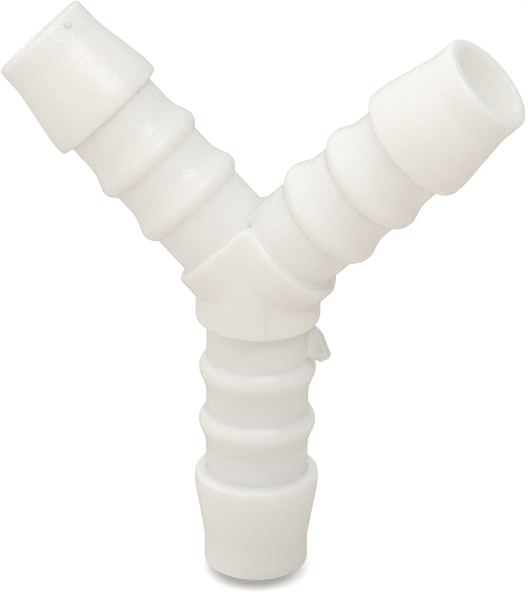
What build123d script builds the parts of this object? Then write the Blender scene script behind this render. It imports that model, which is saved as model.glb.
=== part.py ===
from build123d import *
import math
import os

# Barbed Y connector for flexible tubing: one hollow plastic moulding with three equal arms.
# Frame: millimetres, +Z up. The origin is the centre of the lower arm's end face. The lower arm
# runs up the Z axis to the middle of the Y, and the two upper arms leave it in the XZ plane.
# -Y is the front, with the flat marking pad, and +X is the side of the snapped-off gate.
# Each piece is drawn around the middle of the Y, and the whole body is lifted at the end.
# Along an arm, a distance is counted from the middle of the Y towards the arm's end face.

# Layout of the Y
ARM_LENGTH = 35.9
UPPER_ARM_TILT = 45.0      # degrees between each upper arm and the Z axis

# Bore, the same all the way along each arm
BORE_RADIUS = 4.5
BORE_LIP = 0.12            # rounding of the mouth

# Hub: three stub cylinders, each ending at a collar
HUB_RADIUS = 7.0
COLLAR_AT = 5.55
COLLAR_EDGE = 0.55         # rounding of the collar's rim
COLLAR_ROOT = 0.5          # fillet between the collar's face and the neck
COLLAR_PEAK_ROUND = 2.0    # where the collars of the two upper arms meet
CROTCH_FILLET = 4.0        # in the valley between the two upper stubs
SIDE_FILLET = 0.4          # between each upper stub and the lower stub

# Neck and its two grip ribs
NECK_RADIUS = 5.79
RIB_FEET = (10.1, 16.65)   # where each rib's shoulder leaves the neck
RIB_RISE = 1.05            # length of the shoulder
RIB_RUN = 2.7              # length of the ramp
RIB_CREST = 6.86           # where shoulder and ramp would meet if the crest weren't round
RIB_FOOT_FILLET = 0.5
RIB_CREST_ROUND = 1.5
RIB_RAMP_FILLET = 4.0

# End barb, and the pilot that starts a tube on it
BARB_FOOT = 24.1           # where the barb's shoulder leaves the neck
BARB_SHOULDER = 0.25       # length of the shoulder
BARB_LAND = 1.7            # length of the widest part
BARB_RADIUS = 7.0
BARB_FOOT_FILLET = 0.3
BARB_EDGE = 0.45
BARB_LAND_BLEND = 8.0
PILOT_RADIUS = 5.88
PILOT_LENGTH = 3.3
PILOT_BLEND = 6.0
PILOT_EDGE = 0.5

# Marking pad on the front of the hub: a thin curved strip that fades into the hub at its top
PAD_WIDTH = 5.5
PAD_CENTRE = -0.25         # along X
PAD_BACK = 5.5             # radii of the hidden back of the strip,
PAD_FRONT = 7.15           # of its face,
PAD_FADE_FRONT = 6.4       # and of the end of the fade, inside the hub
PAD_BOTTOM = 5.3           # below the middle of the Y
PAD_TOP = 0.35             # above the middle of the Y, where the fade starts
PAD_FADE_TOP = 3.6         # above the middle of the Y, where the fade ends
PAD_CORNER = 0.4
PAD_EDGE = 0.1

# Snapped-off gate on the lower neck: distance from the Z axis, and distance below the middle
GATE_THICKNESS = 1.2
GATE_OUTLINE = (
    (5.2, 5.7),
    (6.36, 5.95),
    (6.9, 6.3),
    (7.45, 7.0),
    (8.1, 8.65),
    (8.4, 9.3),
    (8.25, 9.5),
    (7.9, 9.65),
    (7.55, 9.95),
    (7.0, 9.8),
    (6.6, 9.55),
    (5.2, 9.4),
)

# Arms by direction, in degrees from +Z towards +X: the axis, and the two mitres that bound it
LOWER_ARM = 180.0
SIDE_MITRE = (UPPER_ARM_TILT + LOWER_ARM) / 2
ARMS = (
    (LOWER_ARM, SIDE_MITRE, 360 - SIDE_MITRE),
    (UPPER_ARM_TILT, 0.0, SIDE_MITRE),
    (-UPPER_ARM_TILT, -SIDE_MITRE, 0.0),
)
MITRE_REACH = 60.0         # larger than any part of an arm


def direction(angle):
    """Unit vector in the XZ plane, at an angle from +Z towards +X."""
    return Vector(0, 0, 1).rotate(Axis.Y, angle)


def sector(first, last):
    """Prism along Y that fills the angle between two directions."""
    near = [direction(angle) * MITRE_REACH for angle in (first, last)]
    far = direction((first + last) / 2) * 2 * MITRE_REACH
    face = make_face(Polyline((0, 0, 0), near[0], far, near[1], close=True))
    return extrude(face, amount=2 * HUB_RADIUS, both=True, dir=(0, 1, 0))


def three_way(bar):
    """Y of three copies of a bar that lies along +Z, mitred where they meet."""
    arms = [(Rot(0, angle, 0) * bar) & sector(first, last) for angle, first, last in ARMS]
    return arms[0] + arms[1] + arms[2]


def turned(outline):
    """Solid of revolution about +Z from an open outline of (radius, distance) edges."""
    start, end = outline @ 0, outline @ 1
    closing = Polyline(end, (0, end.Y), (0, start.Y), start)
    return revolve(Plane.XZ * make_face(outline + closing), axis=Axis.Z)


def collar_prism():
    """Prism along Y whose three faces cross the arms squarely at the collars."""
    peak = COLLAR_AT / math.cos(math.radians(UPPER_ARM_TILT))
    side = (peak + COLLAR_AT) / math.tan(math.radians(90 - UPPER_ARM_TILT))
    face = make_face(Polyline((0, 0, peak), (side, 0, -COLLAR_AT), (-side, 0, -COLLAR_AT), close=True))
    return extrude(face, amount=2 * HUB_RADIUS, both=True, dir=(0, 1, 0))


def stubs():
    """Three long mitred cylinders with a filleted valley between the two upper ones."""
    body = three_way(Cylinder(HUB_RADIUS, MITRE_REACH))
    creases = body.edges().filter_by(GeomType.ELLIPSE)
    return fillet(creases.filter_by(lambda edge: abs((edge @ 0.5).X) < SIDE_FILLET), CROTCH_FILLET)


def hub():
    """Three stub cylinders with soft valleys between them, cut square and rounded at the collars."""
    body = stubs()
    body = fillet(body.edges().filter_by(GeomType.ELLIPSE), SIDE_FILLET)
    cutter = collar_prism()
    cutter = fillet(cutter.edges().filter_by(Axis.Y).sort_by(Axis.Z)[-1], COLLAR_PEAK_ROUND)
    body = body & cutter
    cut_faces = body.faces().filter_by(GeomType.PLANE)
    return fillet(cut_faces.edges(), COLLAR_EDGE)


def arm_outline():
    """Outside of one arm beyond its collar, from a root hidden in the hub to the end face."""
    root = NECK_RADIUS + 1.1 * COLLAR_ROOT
    points = [(root, COLLAR_AT - COLLAR_EDGE), (root, COLLAR_AT), (NECK_RADIUS, COLLAR_AT)]
    radii = [0, COLLAR_ROOT]
    for foot in RIB_FEET:
        crest = foot + RIB_RISE
        points += [(NECK_RADIUS, foot), (RIB_CREST, crest), (NECK_RADIUS, crest + RIB_RUN)]
        radii += [RIB_FOOT_FILLET, RIB_CREST_ROUND, RIB_RAMP_FILLET]
    land = BARB_FOOT + BARB_SHOULDER
    points += [(NECK_RADIUS, BARB_FOOT), (BARB_RADIUS, land), (BARB_RADIUS, land + BARB_LAND)]
    radii += [BARB_FOOT_FILLET, BARB_EDGE, BARB_LAND_BLEND]
    points += [(PILOT_RADIUS, ARM_LENGTH - PILOT_LENGTH), (PILOT_RADIUS, ARM_LENGTH)]
    radii += [PILOT_BLEND, PILOT_EDGE]
    points += [(BORE_RADIUS, ARM_LENGTH)]
    return FilletPolyline(*points, radius=radii)


def bore():
    """One bore along +Z from beyond the middle of the Y, opening out at a rounded mouth."""
    start = Polyline((BORE_RADIUS, -2 * BORE_RADIUS), (BORE_RADIUS, ARM_LENGTH - BORE_LIP))
    mouth = (BORE_RADIUS + BORE_LIP, ARM_LENGTH)
    lip = RadiusArc(start @ 1, mouth, -BORE_LIP)
    return turned(start + lip + Polyline(mouth, (BORE_RADIUS + BORE_LIP, ARM_LENGTH + BORE_LIP)))


def pad():
    """Thin strip around the front of the hub, for a marking."""
    side = Polyline(
        (PAD_BACK, 0, -PAD_BOTTOM),
        (PAD_FRONT, 0, -PAD_BOTTOM),
        (PAD_FRONT, 0, PAD_TOP),
        (PAD_FADE_FRONT, 0, PAD_FADE_TOP),
        (PAD_BACK, 0, PAD_FADE_TOP),
        close=True,
    )
    front = Pos(PAD_CENTRE, -PAD_FRONT, 0) * Box(PAD_WIDTH, 2 * PAD_FRONT, 2 * PAD_FRONT)
    strip = revolve(make_face(side), axis=Axis.Z) & front
    low_corners = strip.edges().filter_by(GeomType.LINE).filter_by(Axis.Y).group_by(Axis.Z)[0]
    strip = fillet(low_corners, PAD_CORNER)
    return fillet(strip.faces().filter_by(GeomType.CYLINDER).sort_by(Axis.Y)[0].edges(), PAD_EDGE)


def gate():
    """Short web left where the gate was snapped off."""
    face = make_face(Polyline(*[(x, 0, -below) for x, below in GATE_OUTLINE], close=True))
    return extrude(face, amount=GATE_THICKNESS / 2, both=True, dir=(0, 1, 0))


def connector_body():
    """Whole moulding, standing on the end face of its lower arm."""
    outside = hub() + three_way(turned(arm_outline())) + pad() + gate()
    return Pos(0, 0, ARM_LENGTH) * (outside - three_way(bore()))


if __name__ == "__main__":
    os.makedirs("parts", exist_ok=True)
    solid = connector_body()
    export_step(solid, "parts/connector_body.step")
    print(solid.is_valid, len(solid.solids()), solid.volume, solid.bounding_box())
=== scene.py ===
"""Dresses a tubing Y connector in moulded natural plastic and sets it on a pale studio floor."""

import logging
import math
from dataclasses import dataclass, field
from enum import Enum

import bpy
import numpy as np
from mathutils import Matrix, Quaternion, Vector


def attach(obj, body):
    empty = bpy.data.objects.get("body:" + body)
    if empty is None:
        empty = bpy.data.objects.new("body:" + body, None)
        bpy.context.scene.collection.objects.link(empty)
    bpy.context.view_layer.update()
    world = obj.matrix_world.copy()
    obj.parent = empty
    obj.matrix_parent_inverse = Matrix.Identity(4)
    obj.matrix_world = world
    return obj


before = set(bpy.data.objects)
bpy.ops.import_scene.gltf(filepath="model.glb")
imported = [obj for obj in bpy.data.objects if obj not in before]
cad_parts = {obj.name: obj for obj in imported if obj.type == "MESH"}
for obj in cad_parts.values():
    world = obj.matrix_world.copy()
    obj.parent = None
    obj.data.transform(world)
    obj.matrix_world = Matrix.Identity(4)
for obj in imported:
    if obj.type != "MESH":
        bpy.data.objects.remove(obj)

LOG = logging.getLogger("tubing_y_connector")
BODY = "root"
NODE = "connector_body"
MM = 0.001

# Driving sizes of the moulding, in metres, in the frame of the CAD model: the origin is the centre
# of the lower end face, +Z runs up the lower arm and -Y is the front.
ARM_LENGTH = 35.9 * MM
MIDDLE = Vector((0.0, 0.0, ARM_LENGTH))


class Arm(Enum):
    """An arm of the Y, by its direction in degrees from +Z towards +X."""

    LOWER = 180.0
    RIGHT = 45.0
    LEFT = -45.0

    @property
    def direction(self) -> np.ndarray:
        """Unit vector from the middle of the Y to the arm's end."""
        angle = math.radians(self.value)
        return np.array((math.sin(angle), 0.0, math.cos(angle)))


# --------------------------------------------------------------------------------------------------
# Shader helpers
# --------------------------------------------------------------------------------------------------


class Shader:
    """A material's node tree, with short calls for the nodes that the finishes share."""

    def __init__(self, name: str) -> None:
        """Starts an empty node material.

        Args:
            name: name of the new material.
        """
        self.material = bpy.data.materials.new(name)
        self.material.use_nodes = True
        self.tree = self.material.node_tree
        self.tree.nodes.clear()

    def node(self, kind: str, **values: object) -> bpy.types.Node:
        """Adds a node and sets its properties and sockets.

        Args:
            kind: Blender's name of the node type.
            **values: a property of the node, or else the socket of that name, with spaces as "_".

        Returns:
            The new node.
        """
        made = self.tree.nodes.new(kind)
        for key, value in values.items():
            if hasattr(made, key):
                setattr(made, key, value)
            else:
                self.feed(made.inputs[key.replace("_", " ")], value)
        return made

    def feed(self, socket: bpy.types.NodeSocket, value: object) -> None:
        """Links a socket to another socket, or sets its value.

        Args:
            socket: input to fill.
            value: an output socket, or a plain value.
        """
        if isinstance(value, bpy.types.NodeSocket):
            self.tree.links.new(value, socket)
        else:
            socket.default_value = value

    def math(self, operation: str, *values: object) -> bpy.types.NodeSocket:
        """Adds a Math node.

        Args:
            operation: name of the operation.
            *values: its inputs in order, as sockets or numbers.

        Returns:
            The result's socket.
        """
        made = self.node("ShaderNodeMath", operation=operation)
        for socket, value in zip(made.inputs, values):
            self.feed(socket, value)
        return made.outputs[0]

    def vector(self, operation: str, first: object, second: object) -> bpy.types.NodeSocket:
        """Adds a Vector Math node of two inputs.

        Args:
            operation: name of the operation.
            first: first vector, a socket or a tuple.
            second: second vector, a socket or a tuple.

        Returns:
            The result's socket: a number for a dot product or a distance, else a vector.
        """
        made = self.node("ShaderNodeVectorMath", operation=operation)
        self.feed(made.inputs[0], first)
        self.feed(made.inputs[1], second)
        return made.outputs["Value" if operation in ("DOT_PRODUCT", "DISTANCE") else "Vector"]

    def place(self) -> bpy.types.NodeSocket:
        """Returns the point being shaded, in the object's own frame, in metres."""
        return self.node("ShaderNodeTexCoord").outputs["Object"]

    def bores(self, radius: float) -> bpy.types.NodeSocket:
        """Finds the walls of the three bores.

        Args:
            radius: distance from an arm's axis within which a point counts, in metres.

        Returns:
            1 where the point is that near to an arm's axis, on the arm's own side of the middle of
            the Y; else 0.
        """
        offset = self.vector("SUBTRACT", self.place(), tuple(MIDDLE))
        square = self.vector("DOT_PRODUCT", offset, offset)
        found = 0.0
        for arm in Arm:
            along = self.vector("DOT_PRODUCT", offset, tuple(arm.direction))
            across = self.math("SUBTRACT", square, self.math("MULTIPLY", along, along))
            near = self.math("LESS_THAN", across, radius * radius)
            ahead = self.math("GREATER_THAN", along, -radius / 2)
            found = self.math("MAXIMUM", found, self.math("MULTIPLY", near, ahead))
        return found

    def noise(self, size: float, detail: float = 2.0) -> bpy.types.NodeSocket:
        """Adds a noise whose grains have a real size.

        Args:
            size: distance between neighbouring grains, in metres.
            detail: number of finer octaves.

        Returns:
            The noise's value, from 0 to 1.
        """
        mapping = self.node("ShaderNodeMapping", Vector=self.place(), Scale=[1.0 / size] * 3)
        made = self.node("ShaderNodeTexNoise", Vector=mapping.outputs[0], Scale=1.0, Detail=detail,
                         Distortion=0.0)
        return made.outputs["Fac"]

    def ramp(self, value: bpy.types.NodeSocket, low: float, high: float, start: float = 0.0,
             end: float = 1.0) -> bpy.types.NodeSocket:
        """Maps a value smoothly from the span low to high onto the span start to end.

        Args:
            value: value to map.
            low: value that gives start.
            high: value that gives end.
            start: result at and below low.
            end: result at and above high.

        Returns:
            The mapped value's socket.
        """
        made = self.node("ShaderNodeMapRange", interpolation_type="SMOOTHSTEP")
        for name, number in (("Value", value), ("From Min", low), ("From Max", high),
                             ("To Min", start), ("To Max", end)):
            self.feed(made.inputs[name], number)
        return made.outputs["Result"]

    def mix(self, factor: object, first: object, second: object) -> bpy.types.NodeSocket:
        """Mixes two colours.

        Args:
            factor: share of the second colour.
            first: first colour, a socket or an RGBA tuple.
            second: second colour, a socket or an RGBA tuple.

        Returns:
            The mixed colour's socket.
        """
        made = self.node("ShaderNodeMix", data_type="RGBA")
        self.feed(made.inputs["Factor"], factor)
        colours = [socket for socket in made.inputs if socket.type == "RGBA"]
        self.feed(colours[0], first)
        self.feed(colours[1], second)
        return [socket for socket in made.outputs if socket.type == "RGBA"][0]

    def bump(self, height: bpy.types.NodeSocket, depth: float,
             under: bpy.types.NodeSocket | None = None) -> bpy.types.NodeSocket:
        """Adds a Bump node for a relief of a real depth.

        Args:
            height: relief from 0 to 1.
            depth: depth of the relief, in metres.
            under: normal that the relief is laid on.

        Returns:
            The normal's socket.
        """
        made = self.node("ShaderNodeBump", Height=height, Distance=depth, Strength=1.0)
        if under is not None:
            self.feed(made.inputs["Normal"], under)
        return made.outputs["Normal"]

    def finish(self, shader: bpy.types.Node) -> bpy.types.Material:
        """Links the last shader to the material's output.

        Args:
            shader: node whose first output is the finished surface.

        Returns:
            The finished material.
        """
        output = self.node("ShaderNodeOutputMaterial")
        self.tree.links.new(shader.outputs[0], output.inputs["Surface"])
        return self.material


# --------------------------------------------------------------------------------------------------
# Finishes
# --------------------------------------------------------------------------------------------------


@dataclass(frozen=True)
class NaturalPlastic:
    """Semi-gloss natural plastic: milky, slightly translucent, with a fine mould grain.

    Sizes, depths, heights and spans are in metres. The bores and the foot's rim glow a little, as
    painted light: the bores stand in for the light that the thin wall carries through, and the
    foot's rim is a painted highlight, the light that its rounded edge picks up from the paper.
    """

    name: str = "natural_plastic"
    colour: tuple = (0.915, 0.905, 0.88, 1.0)
    cloud: float = 7 * MM
    cloud_span: tuple = (0.35, 0.7)
    cloud_colour: tuple = (0.905, 0.89, 0.86, 1.0)
    polish_patch: float = 0.9 * MM
    polish_span: tuple = (0.3, 0.7)
    roughness: tuple = (0.165, 0.215)
    torn_roughness: float = 0.5
    refraction: float = 1.5
    glow: float = 1.0
    glow_radius: tuple = (1.0, 0.97, 0.92)
    glow_scale: float = 1.8 * MM
    bore_radius: float = 4.51 * MM
    # painted light in the bores, standing in for the light that the thin wall carries through
    bore_light: tuple = (0.0, 0.13)
    bore_light_heights: tuple = (20 * MM, 42 * MM)
    bore_light_colour: tuple = (0.97, 1.0, 0.955, 1.0)
    # painted highlight on the outside of the foot's lower rim
    foot_rim: tuple = (0.12 * MM, 0.42 * MM)
    foot_rim_light: float = 0.22
    foot_inside: float = 5.0 * MM
    grain: float = 0.33 * MM
    grain_depth: float = 0.085 * MM
    ripple: float = 2.4 * MM
    ripple_depth: float = 0.015 * MM
    parting_half: tuple = (0.0, 0.16 * MM)
    parting_height: float = 0.02 * MM
    gate_out: tuple = (5.9 * MM, 7.4 * MM)
    gate_heights: tuple = (25.8 * MM, 30.8 * MM)
    gate_half: float = 0.75 * MM
    # the gate is painted darker, in part as painted shade on its thin web
    gate_painted_shade: tuple = (0.74, 0.73, 0.705, 1.0)
    gate_grain: float = 0.5 * MM
    gate_depth: float = 0.3 * MM
    stain_centre: tuple = (-0.2 * MM, -5.79 * MM, 28.5 * MM)
    stain_span: tuple = (0.0, 0.7 * MM)
    stain_colour: tuple = (0.90, 0.845, 0.81, 1.0)
    speck_centre: tuple = (-13.2 * MM, -2.3 * MM, 56.8 * MM)
    speck_span: tuple = (0.05 * MM, 0.24 * MM)
    speck_colour: tuple = (0.66, 0.64, 0.60, 1.0)

    def build(self) -> bpy.types.Material:
        """Returns the finished material."""
        shader = Shader(self.name)
        torn = self.gate_region(shader)
        polish = shader.ramp(shader.noise(self.polish_patch), *self.polish_span, *self.roughness)
        polish = shader.math("MAXIMUM", polish, shader.math("MULTIPLY", torn, self.torn_roughness))
        surface = shader.node("ShaderNodeBsdfPrincipled", Base_Color=self.colours(shader, torn),
                              Roughness=polish, Normal=self.relief(shader, torn))
        # the emission is painted light: a glow in the bores and a highlight on the foot's rim
        for socket, value in (("IOR", self.refraction), ("Subsurface Weight", self.glow),
                              ("Subsurface Radius", self.glow_radius),
                              ("Subsurface Scale", self.glow_scale),
                              ("Emission Color", self.bore_light_colour),
                              ("Emission Strength", self.painted_light(shader))):
            shader.feed(surface.inputs[socket], value)
        return shader.finish(surface)

    def colours(self, shader: Shader, torn: bpy.types.NodeSocket) -> bpy.types.NodeSocket:
        """Mixes the plastic's colour, with its clouds, its spots and the painted shade on the gate.

        Args:
            shader: shader that the nodes are added to.
            torn: 1 on the gate, else 0.

        Returns:
            The colour's socket.
        """
        cloud = shader.ramp(shader.noise(self.cloud, detail=3), *self.cloud_span)
        colour = shader.mix(cloud, self.colour, self.cloud_colour)
        colour = self.mark(shader, colour, self.stain_centre, self.stain_span, self.stain_colour)
        colour = self.mark(shader, colour, self.speck_centre, self.speck_span, self.speck_colour)
        # painted shade on the gate's thin web
        return shader.mix(torn, colour, self.gate_painted_shade)

    def relief(self, shader: Shader, torn: bpy.types.NodeSocket) -> bpy.types.NodeSocket:
        """Lays the ripple, the grain, the parting line and the gate's break over each other.

        Args:
            shader: shader that the nodes are added to.
            torn: 1 on the gate, else 0.

        Returns:
            The normal's socket.
        """
        normal = shader.bump(shader.noise(self.ripple), self.ripple_depth)
        normal = shader.bump(shader.noise(self.grain), self.grain_depth, normal)
        across = shader.vector("DOT_PRODUCT", shader.place(), (0.0, 1.0, 0.0))
        from_seam = shader.math("ABSOLUTE", across)
        seam = shader.ramp(from_seam, *self.parting_half, 1.0, 0.0)
        normal = shader.bump(seam, self.parting_height, normal)
        rough_break = shader.math("MULTIPLY", shader.noise(self.gate_grain, detail=4), torn)
        return shader.bump(rough_break, self.gate_depth, normal)

    def painted_light(self, shader: Shader) -> bpy.types.NodeSocket:
        """Finds the strength of the painted light that the plastic gives off.

        Args:
            shader: shader that the nodes are added to.

        Returns:
            A strength of painted light in the bores, standing in for the light that the thin wall
            carries through, that grows with height and that the camera doesn't see, plus a painted
            highlight on the outside of the foot's lower rim.
        """
        height = shader.vector("DOT_PRODUCT", shader.place(), (0.0, 0.0, 1.0))
        # painted light in the bores, stronger higher up
        strength = shader.ramp(height, *self.bore_light_heights, *self.bore_light)
        lit = shader.math("MULTIPLY", shader.bores(self.bore_radius), strength)
        watched = shader.node("ShaderNodeLightPath").outputs["Is Camera Ray"]
        lit = shader.math("MULTIPLY", lit, shader.math("SUBTRACT", 1.0, watched))
        # painted highlight on the outside of the foot's lower rim
        rim = shader.ramp(height, *self.foot_rim, self.foot_rim_light, 0.0)
        outside = shader.math("SUBTRACT", 1.0, shader.bores(self.foot_inside))
        return shader.math("ADD", lit, shader.math("MULTIPLY", rim, outside))

    def mark(self, shader: Shader, colour: bpy.types.NodeSocket, centre: tuple, span: tuple,
             stain: tuple) -> bpy.types.NodeSocket:
        """Lays a small soft spot of another colour on the plastic.

        Args:
            shader: shader that the nodes are added to.
            colour: colour around the spot.
            centre: the spot's centre, in metres.
            span: distances from the centre where the spot starts to fade and where it ends.
            stain: colour of the spot.

        Returns:
            The colour with the spot.
        """
        away = shader.vector("DISTANCE", shader.place(), centre)
        return shader.mix(shader.ramp(away, *span, 1.0, 0.0), colour, stain)

    def gate_region(self, shader: Shader) -> bpy.types.NodeSocket:
        """Finds the snapped-off gate.

        Args:
            shader: shader that the nodes are added to.

        Returns:
            1 on the gate's web beyond the lower arm, fading to 0 at its root; else 0.
        """
        split = shader.node("ShaderNodeSeparateXYZ", Vector=shader.place())
        out = shader.ramp(split.outputs["X"], *self.gate_out)
        above = shader.math("GREATER_THAN", split.outputs["Z"], self.gate_heights[0])
        below = shader.math("LESS_THAN", split.outputs["Z"], self.gate_heights[1])
        thin = shader.math("LESS_THAN", shader.math("ABSOLUTE", split.outputs["Y"]), self.gate_half)
        within = shader.math("MULTIPLY", shader.math("MULTIPLY", above, below), thin)
        return shader.math("MULTIPLY", out, within)


@dataclass(frozen=True)
class ScuffedPlastic:
    """Dull darker plastic in the bottom of a scratch."""

    name: str = "scuffed_plastic"
    colours: tuple = ((0.66, 0.66, 0.64, 1.0), (0.80, 0.79, 0.77, 1.0))
    colour_span: tuple = (0.35, 0.65)
    roughness: tuple = (0.5, 0.7)
    roughness_span: tuple = (0.3, 0.7)
    grain: float = 0.1 * MM
    grain_depth: float = 0.02 * MM

    def build(self) -> bpy.types.Material:
        """Returns the finished material."""
        shader = Shader(self.name)
        value = shader.noise(self.grain, detail=3)
        colour = shader.mix(shader.ramp(value, *self.colour_span), *self.colours)
        surface = shader.node("ShaderNodeBsdfPrincipled", Base_Color=colour,
                              Roughness=shader.ramp(value, *self.roughness_span, *self.roughness),
                              Normal=shader.bump(value, self.grain_depth))
        return shader.finish(surface)


@dataclass(frozen=True)
class StudioPaper:
    """Matt paper of the studio floor, overexposed to plain white but less bright as a reflector,
    with a painted contact shadow around the foot that only the camera sees.
    """

    name: str = "studio_paper"
    seen: tuple = (1.35, 1.35, 1.35, 1.0)
    # painted contact shadow around the foot, seen only by the camera
    shaded: tuple = (0.50, 0.50, 0.50, 1.0)
    shade_centre: tuple = (0.5 * MM, -2.5 * MM, 0.0)
    shade_span: tuple = (3.6 * MM, 6.9 * MM)
    reflecting: tuple = (0.83, 0.78, 0.725, 1.0)

    def build(self) -> bpy.types.Material:
        """Returns the finished material."""
        shader = Shader(self.name)
        # painted contact shadow: the paper seen by the camera darkens towards the foot
        from_foot = shader.vector("DISTANCE", shader.place(), self.shade_centre)
        seen = shader.mix(shader.ramp(from_foot, *self.shade_span), self.shaded, self.seen)
        watched = shader.node("ShaderNodeLightPath").outputs["Is Camera Ray"]
        colour = shader.mix(watched, self.reflecting, seen)
        surface = shader.node("ShaderNodeBsdfDiffuse", Color=colour, Roughness=0.0)
        return shader.finish(surface)


# --------------------------------------------------------------------------------------------------
# The connector
# --------------------------------------------------------------------------------------------------


@dataclass
class ConnectorBody:
    """The whole moulding, which keeps the shape of its CAD node."""

    finish: NaturalPlastic = field(default_factory=NaturalPlastic)

    def build(self) -> bpy.types.Object:
        """Gives the CAD node its finish.

        Returns:
            The dressed node.
        """
        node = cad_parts[NODE]
        material = self.finish.build()
        node.data.materials.clear()
        node.data.materials.append(material)
        return node


@dataclass
class Scuff:
    """A hair-thin scratch, drawn as a fine round cord that lies half sunk in the surface.

    Each point of its path is (distance along the arm from the middle of the Y in mm, degrees around
    the arm from its upper side towards the front, distance from the arm's axis in mm).
    """

    name: str
    arm: Arm
    path: tuple
    radius: float = 0.04 * MM
    steps: int = 40
    sides: int = 8
    taper: float = 0.02
    ring_hint: tuple = (0.0, 1.0, 0.3)
    finish: ScuffedPlastic = field(default_factory=ScuffedPlastic)

    def line(self) -> np.ndarray:
        """Smooth line through the path.

        Returns:
            Points of shape (steps, 3), in metres. Distance, angle and radius run through the given
            values on smooth curves, and the point is the middle of the Y, plus the arm's direction
            times the distance, plus the turned radius: cosine on the arm's upper side, sine on -Y.
        """
        given = np.array(self.path)
        where = np.linspace(0, len(given) - 1, self.steps)
        index = np.clip(where.astype(int), 0, len(given) - 2)
        share = (where - index)[:, None]
        slope = np.gradient(given, axis=0)
        square, cube = share ** 2, share ** 3
        drawn = ((2 * cube - 3 * square + 1) * given[index] + (cube - 2 * square + share) * slope[index]
                 + (3 * square - 2 * cube) * given[index + 1] + (cube - square) * slope[index + 1])
        along, around, out = drawn[:, 0] * MM, np.radians(drawn[:, 1]), drawn[:, 2] * MM
        axis = self.arm.direction
        upper = np.array((-axis[0], 0.0, axis[2])) if axis[0] else np.array((1.0, 0.0, 0.0))
        turned = np.cos(around)[:, None] * upper + np.sin(around)[:, None] * np.array((0.0, -1.0, 0.0))
        return np.array(MIDDLE) + along[:, None] * axis + out[:, None] * turned

    def build(self) -> bpy.types.Object:
        """Makes the scratch.

        Returns:
            An open tube about the line: ring k has its centre at point k and the radius r times
            the cube root of sin(pi t), so that both ends narrow. t runs evenly from the taper to
            1 less the taper. Each ring is square to the line.
        """
        line = self.line()
        ahead = np.gradient(line, axis=0)
        ahead /= np.linalg.norm(ahead, axis=1, keepdims=True)
        side = np.cross(ahead, self.ring_hint)
        side /= np.linalg.norm(side, axis=1, keepdims=True)
        other = np.cross(ahead, side)
        turn = np.linspace(0, 2 * math.pi, self.sides + 1)[None, :, None]
        share = np.linspace(self.taper, 1 - self.taper, self.steps)
        thick = self.radius * np.cbrt(np.sin(math.pi * share))
        rings = np.cos(turn) * side[:, None, :] + np.sin(turn) * other[:, None, :]
        made = grid_object(self.name, line[:, None, :] + thick[:, None, None] * rings)
        made.data.materials.append(self.finish.build())
        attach(made, BODY)
        return made


# --------------------------------------------------------------------------------------------------
# The studio
# --------------------------------------------------------------------------------------------------


@dataclass
class Studio:
    """White paper floor, a white surround that is stronger from the left, and a large soft light."""

    floor_half: float = 3.0
    floor_points: int = 9
    left_sky: tuple = (1.08, 1.08, 1.06, 1.0)
    right_sky: tuple = (0.44, 0.44, 0.435, 1.0)
    key_azimuth: float = 40.0
    key_elevation: float = 56.0
    key_distance: float = 313 * MM
    key_size: tuple = (190 * MM, 72 * MM)
    key_roll: float = 27.0
    key_power: float = 0.20
    paper: StudioPaper = field(default_factory=StudioPaper)

    def floor(self) -> bpy.types.Object:
        """Lays the paper just under the foot.

        Returns:
            The floor, a flat square grid: x and y run evenly from -half to +half at z = 0.
        """
        side = np.linspace(-self.floor_half, self.floor_half, self.floor_points)
        x, y = np.meshgrid(side, side)
        floor = grid_object("studio_floor", np.stack((x, y, np.zeros_like(x)), axis=-1))
        floor.data.materials.append(self.paper.build())
        return floor

    def world(self) -> None:
        """Surrounds the scene with white light that fades evenly from the left to the right."""
        world = bpy.data.worlds.new("studio_surround")
        world.use_nodes = True
        tree = world.node_tree
        way = tree.nodes.new("ShaderNodeTexCoord")
        split = tree.nodes.new("ShaderNodeSeparateXYZ")
        share = tree.nodes.new("ShaderNodeMapRange")
        share.inputs["From Min"].default_value = -1.0
        blend = tree.nodes.new("ShaderNodeMix")
        blend.data_type = "RGBA"
        colours = [socket for socket in blend.inputs if socket.type == "RGBA"]
        colours[0].default_value, colours[1].default_value = self.left_sky, self.right_sky
        tree.links.new(way.outputs["Generated"], split.inputs[0])
        tree.links.new(split.outputs["X"], share.inputs["Value"])
        tree.links.new(share.outputs["Result"], blend.inputs["Factor"])
        mixed = [socket for socket in blend.outputs if socket.type == "RGBA"][0]
        tree.links.new(mixed, tree.nodes["Background"].inputs["Color"])
        bpy.context.scene.world = world

    def key(self) -> bpy.types.Object:
        """Hangs the soft box, above the front of the connector.

        Returns:
            The light.
        """
        data = bpy.data.lights.new("soft_box", "AREA")
        data.energy = self.key_power
        data.shape = "RECTANGLE"
        data.size, data.size_y = self.key_size
        light = bpy.data.objects.new("soft_box", data)
        towards = towards_viewer(self.key_azimuth, self.key_elevation)
        light.location = MIDDLE + towards * self.key_distance
        roll = Quaternion((0, 0, 1), math.radians(self.key_roll))
        light.rotation_mode = "QUATERNION"
        light.rotation_quaternion = towards.to_track_quat("Z", "Y") @ roll
        bpy.context.scene.collection.objects.link(light)
        return light

    def build(self) -> None:
        """Builds the floor and the lights."""
        self.floor()
        self.world()
        self.key()
        bpy.context.scene.view_settings.view_transform = "Standard"


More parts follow.
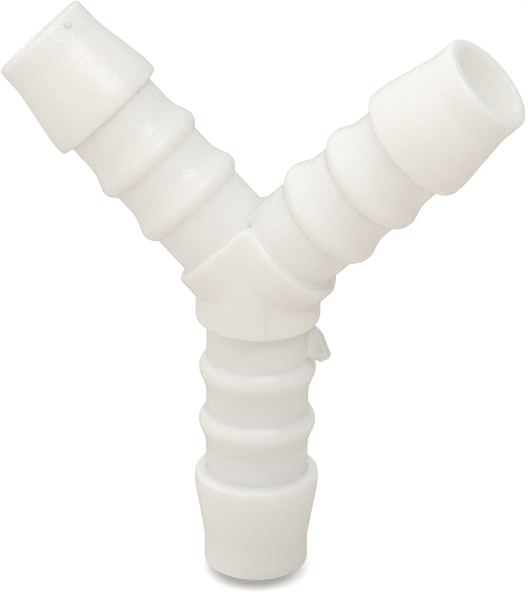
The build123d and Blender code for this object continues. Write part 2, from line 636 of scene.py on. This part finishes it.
@dataclass
class ProductCamera:
    """A long lens that looks slightly down at the front of the connector."""

    azimuth: float = 14.712
    elevation: float = 23.877
    roll: float = 0.583
    distance: float = 444.645 * MM
    lens: float = 239.7
    sensor: float = 36.0
    aim_right: float = 0.622 * MM
    aim_up: float = -3.164 * MM

    def build(self) -> bpy.types.Object:
        """Places the camera around the middle of the Y and makes it the scene's own.

        Returns:
            The camera.
        """
        data = bpy.data.cameras.new("product_camera")
        data.lens = self.lens
        data.sensor_width = self.sensor
        data.clip_start, data.clip_end = 0.01, 20.0
        camera = bpy.data.objects.new("product_camera", data)
        back = towards_viewer(self.azimuth, self.elevation)
        turn = back.to_track_quat("Z", "Y") @ Quaternion((0, 0, 1), math.radians(self.roll))
        camera.location = MIDDLE + back * self.distance
        aim = MIDDLE + turn @ Vector((self.aim_right, self.aim_up, 0.0))
        looking = (camera.location - aim).to_track_quat("Z", "Y")
        camera.rotation_mode = "QUATERNION"
        camera.rotation_quaternion = looking @ Quaternion((0, 0, 1), math.radians(self.roll))
        bpy.context.scene.collection.objects.link(camera)
        bpy.context.scene.camera = camera
        return camera


def towards_viewer(azimuth: float, elevation: float) -> Vector:
    """Unit vector towards a viewer.

    Args:
        azimuth: degrees from the front, -Y, towards +X.
        elevation: degrees above the horizon.

    Returns:
        (sin a cos e, -cos a cos e, sin e).
    """
    a, e = math.radians(azimuth), math.radians(elevation)
    return Vector((math.sin(a) * math.cos(e), -math.cos(a) * math.cos(e), math.sin(e)))


def grid_object(name: str, points: np.ndarray) -> bpy.types.Object:
    """Makes a mesh object from a grid of points, joined by quads.

    Args:
        name: name of the new object.
        points: array of shape (rows, columns, 3), in metres.

    Returns:
        The new object, linked to the scene.
    """
    rows, columns = points.shape[:2]
    index = np.arange(rows * columns).reshape(rows, columns)
    quads = np.stack((index[:-1, :-1], index[:-1, 1:], index[1:, 1:], index[1:, :-1]), axis=-1)
    mesh = bpy.data.meshes.new(name)
    mesh.from_pydata(points.reshape(-1, 3).tolist(), [], quads.reshape(-1, 4).tolist())
    mesh.update()
    made = bpy.data.objects.new(name, mesh)
    bpy.context.scene.collection.objects.link(made)
    return made


def surface_wear() -> list[Scuff]:
    """Scratches of the moulding.

    Returns:
        A small hooked scuff on the left arm's pilot, and a nick across the end face behind it.
    """
    hook = ((35.07, 29.7, 5.88), (34.86, 34.1, 5.88), (34.43, 33.3, 5.88), (34.36, 28.8, 5.88),
            (34.72, 26.1, 5.88))
    nick = ((35.84, -104.0, 4.75), (35.9, -104.5, 5.1), (35.88, -105.0, 5.55))
    return [Scuff("left_pilot_scuff", Arm.LEFT, hook),
            Scuff("left_rim_nick", Arm.LEFT, nick, radius=0.11 * MM)]


def main() -> None:
    """Builds the connector, the studio and the camera, and reports each piece."""
    logging.basicConfig(level=logging.INFO, format="%(name)s: %(message)s")
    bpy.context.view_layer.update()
    pieces = [ConnectorBody().build(), *(scuff.build() for scuff in surface_wear())]
    for piece in pieces:
        LOG.info("%s: %d faces", piece.name, len(piece.data.polygons))
    Studio().build()
    ProductCamera().build()


if __name__ == "__main__":
    main()
